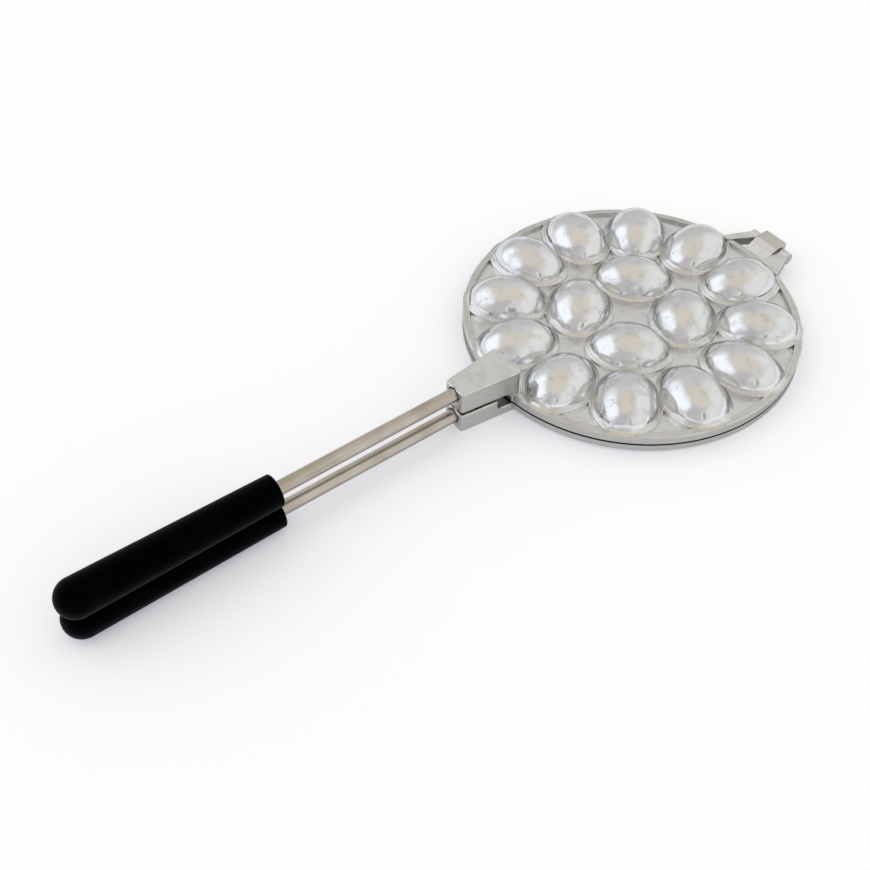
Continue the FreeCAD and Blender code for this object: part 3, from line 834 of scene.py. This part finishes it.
# %% Copies on two rings
def ring_of_nuts(ring):
    """Copies of the shell on one ring, each turned by its place on the ring."""
    circle = add(tree, "GeometryNodeMeshCircle",
                 inputs={"Vertices": sizes[ring + " count"], "Radius": sizes[ring + " radius"]})
    raised = add(tree, "ShaderNodeCombineXYZ", inputs={"Z": sizes["Base"]})
    start = add(tree, "ShaderNodeCombineXYZ", inputs={"Z": sizes[ring + " start"]})
    moved = add(tree, "GeometryNodeTransform",
                inputs={"Geometry": circle, "Translation": raised, "Rotation": start})
    place = add(tree, "GeometryNodeInputPosition")
    parts = add(tree, "ShaderNodeSeparateXYZ", inputs={"Vector": place}).outputs
    around = add(tree, "ShaderNodeMath", {"operation": "ARCTAN2"}, {0: parts["Y"], 1: parts["X"]})
    turned = add(tree, "ShaderNodeMath", {"operation": "ADD"}, {0: around, 1: sizes[ring + " turn"]})
    turn = add(tree, "ShaderNodeCombineXYZ", inputs={"Z": turned})
    return add(tree, "GeometryNodeInstanceOnPoints",
               inputs={"Points": moved, "Instance": shell, "Rotation": turn})


rings = add(tree, "GeometryNodeJoinGeometry")
for ring in reversed(NUT_RINGS):
    tree.links.new(ring_of_nuts(ring).outputs[0], rings.inputs[0])
print("nuts in the two rings:", sum(count for _, count, _, _ in NUT_RINGS.values()))

# %% [markdown]
# Veins are the borders between the cells of a Voronoi pattern. The pattern
# is stretched along the nut, as a walnut's veins run from end to end, and
# bent by noise so that no vein is straight. The same noise adds soft lumps
# between the veins.

# %% Veins
VEIN_STRETCH = 1.6
VEIN_WANDER = 0.7
VEIN_SHARE = 0.16
BENDS_PER_VEIN = 1.1


def vein_pattern():
    """1 on the line of a vein, 0 between veins, and the noise that bends them."""
    slice_of_pattern = add(tree, "GeometryNodeInputNamedAttribute", {"data_type": "FLOAT"},
                           {"Name": "nut_number"})
    nut_place = add(tree, "GeometryNodeInputNamedAttribute", {"data_type": "FLOAT_VECTOR"},
                    {"Name": "nut_place"})
    longer = add(tree, "ShaderNodeMath", PRODUCT, {0: sizes["Vein spacing"], 1: VEIN_STRETCH})
    spacing = add(tree, "ShaderNodeCombineXYZ",
                  inputs={"X": longer, "Y": sizes["Vein spacing"], "Z": sizes["Vein spacing"]})
    place = add(tree, "ShaderNodeVectorMath", {"operation": "DIVIDE"}, {0: nut_place, 1: spacing})
    drift = add(tree, "ShaderNodeTexNoise", {"noise_dimensions": "4D"},
                {"Vector": place, "W": slice_of_pattern, "Scale": BENDS_PER_VEIN})
    bent = add(tree, "ShaderNodeVectorMath", {"operation": "MULTIPLY_ADD"},
               {0: drift.outputs["Color"], 1: (VEIN_WANDER,) * 3, 2: place})
    cells = add(tree, "ShaderNodeTexVoronoi", {"voronoi_dimensions": "4D", "feature": "DISTANCE_TO_EDGE"},
                {"Vector": bent, "W": slice_of_pattern, "Scale": 1.0})
    vein = add(tree, "ShaderNodeMapRange", EASED, {"Value": cells, "From Min": VEIN_SHARE, "From Max": 0.0})
    return vein, drift


print("a vein is about this wide at its foot, in mm:", round(2 * VEIN_SHARE * VEIN_SPACING / MM, 1))

# %% Relief of the carving
LUMP_SHARE = 0.35
# The veins fade out on their way down to the cavity's rim.
RIM_FADE = {"From Min": 0.4 * MM, "From Max": 2.6 * MM}


def vein_relief():
    """How far the inner skin stands up, as a share of a vein's height."""
    vein, drift = vein_pattern()
    lumps = add(tree, "ShaderNodeMath", PRODUCT, {0: drift, 1: LUMP_SHARE})
    both = add(tree, "ShaderNodeMath", {"operation": "ADD"}, {0: vein, 1: lumps})
    place = add(tree, "GeometryNodeInputPosition")
    height = add(tree, "ShaderNodeSeparateXYZ", inputs={"Vector": place}).outputs["Z"]
    above = add(tree, "ShaderNodeMath", {"operation": "SUBTRACT"}, {0: height, 1: sizes["Base"]})
    fade = add(tree, "ShaderNodeMapRange", EASED, {"Value": above, **RIM_FADE})
    inner = add(tree, "GeometryNodeInputNamedAttribute", {"data_type": "FLOAT"}, {"Name": "inner"})
    faded = add(tree, "ShaderNodeMath", PRODUCT, {0: both, 1: fade})
    return add(tree, "ShaderNodeMath", PRODUCT, {0: faded, 1: inner})


print("lumps reach this high, in mm:", round(LUMP_SHARE * VEIN_HEIGHT / MM, 2))

# %% Raised veins
# How far apart in the pattern the nuts' slices may lie.
PATTERN_DEPTH = 60.0


def veined_shells():
    """Numbers the shells, makes them real meshes and raises their veins."""
    chance = add(tree, "FunctionNodeRandomValue", {"data_type": "FLOAT"},
                 {"Max": PATTERN_DEPTH, "Seed": sizes["Seed"]})
    numbered = add(tree, "GeometryNodeStoreNamedAttribute", {"data_type": "FLOAT", "domain": "INSTANCE"},
                   {"Geometry": rings, "Name": "nut_number", "Value": chance})
    real = add(tree, "GeometryNodeRealizeInstances", inputs={"Geometry": numbered})
    drawn = add(tree, "GeometryNodeStoreNamedAttribute", {"data_type": "FLOAT"},
                {"Geometry": real, "Name": "relief", "Value": vein_relief()})
    share = add(tree, "GeometryNodeInputNamedAttribute", {"data_type": "FLOAT"}, {"Name": "relief"})
    relief = add(tree, "ShaderNodeMath", PRODUCT, {0: share, 1: sizes["Vein height"]})
    facing = add(tree, "GeometryNodeInputNormal")
    push = add(tree, "ShaderNodeVectorMath", {"operation": "SCALE"}, {0: facing, "Scale": relief})
    return add(tree, "GeometryNodeSetPosition", inputs={"Geometry": drawn, "Offset": push})


smooth = add(tree, "GeometryNodeSetShadeSmooth", inputs={"Geometry": veined_shells()})
dressed = add(tree, "GeometryNodeSetMaterial",
              inputs={"Geometry": smooth, "Material": sizes["Finish"]})
add(tree, "NodeGroupOutput", inputs={"Geometry": dressed})
print("the tree has", len(tree.nodes), "nodes")

# %% [markdown]
# ## Seasoned aluminium
# The carved skin is the same cast aluminium, wiped with oil and baked many
# times. Oil turns amber-brown where it stays, in the hollows between the
# veins, and is rubbed away on the veins' crests. The relief that raised the
# veins was kept on the mesh, so the finish follows it exactly.

# %% Seasoned aluminium
HOLLOW_COLOUR = "#A39C90"
CREST_COLOUR = "#DEDEDC"
HOLLOW_ROUGHNESS = 0.34
CREST_ROUGHNESS = 0.20
CREST_LIMITS = {"From Min": 0.15, "From Max": 0.6}


def seasoned_aluminium():
    """Cast aluminium, amber and duller in the hollows, rubbed bright on the crests."""
    material, tree, output = blank_material("seasoned_aluminium")
    place = add(tree, "ShaderNodeTexCoord").outputs["Object"]
    relief = add(tree, "ShaderNodeAttribute", {"attribute_name": "relief"}).outputs["Fac"]
    grain = add(tree, "ShaderNodeTexNoise",
                inputs={"Vector": place, "Scale": 1 / GRAIN_SIZE, "Detail": 3.0})
    crest = add(tree, "ShaderNodeMapRange", EASED, {"Value": relief, **CREST_LIMITS})
    colour = add(tree, "ShaderNodeMix", COLOURS,
                 {"Factor": crest, "A": linear(HOLLOW_COLOUR), "B": linear(CREST_COLOUR)})
    rough = add(tree, "ShaderNodeMix",
                inputs={"Factor": crest, "A": HOLLOW_ROUGHNESS, "B": CREST_ROUGHNESS})
    normal = add(tree, "ShaderNodeBump", inputs={"Height": grain, "Distance": GRAIN_HEIGHT})
    metal = add(tree, "ShaderNodeBsdfPrincipled",
                inputs={"Base Color": colour, "Metallic": 1.0, "Roughness": rough, "Normal": normal})
    tree.links.new(metal.outputs[0], output.inputs["Surface"])
    return material


finish = seasoned_aluminium()
print("seasoned aluminium has", len(finish.node_tree.nodes), "nodes")

# %% The carving as one plain mesh
def make_carving():
    """Runs the tree once and keeps its result as a plain mesh on the upper half."""
    maker = bpy.data.objects.new("carving_maker", bpy.data.meshes.new("carving_maker"))
    scene.collection.objects.link(maker)
    modifier = maker.modifiers.new("walnut_carving", "NODES")
    modifier.node_group = tree
    for item in tree.interface.items_tree:
        if item.in_out == "INPUT":
            modifier[item.identifier] = numbers.get(item.name, finish)
    graph = bpy.context.evaluated_depsgraph_get()
    mesh = bpy.data.meshes.new_from_object(maker.evaluated_get(graph))
    maker.modifiers.remove(modifier)
    bpy.data.objects.remove(maker)
    mesh.name = "walnut_carving"
    mesh.materials.clear()
    mesh.materials.append(finish)
    piece = bpy.data.objects.new("walnut_carving", mesh)
    scene.collection.objects.link(piece)
    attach(piece, "upper_half")
    return piece


carving = make_carving()
print("the carving has", len(carving.data.polygons), "faces")
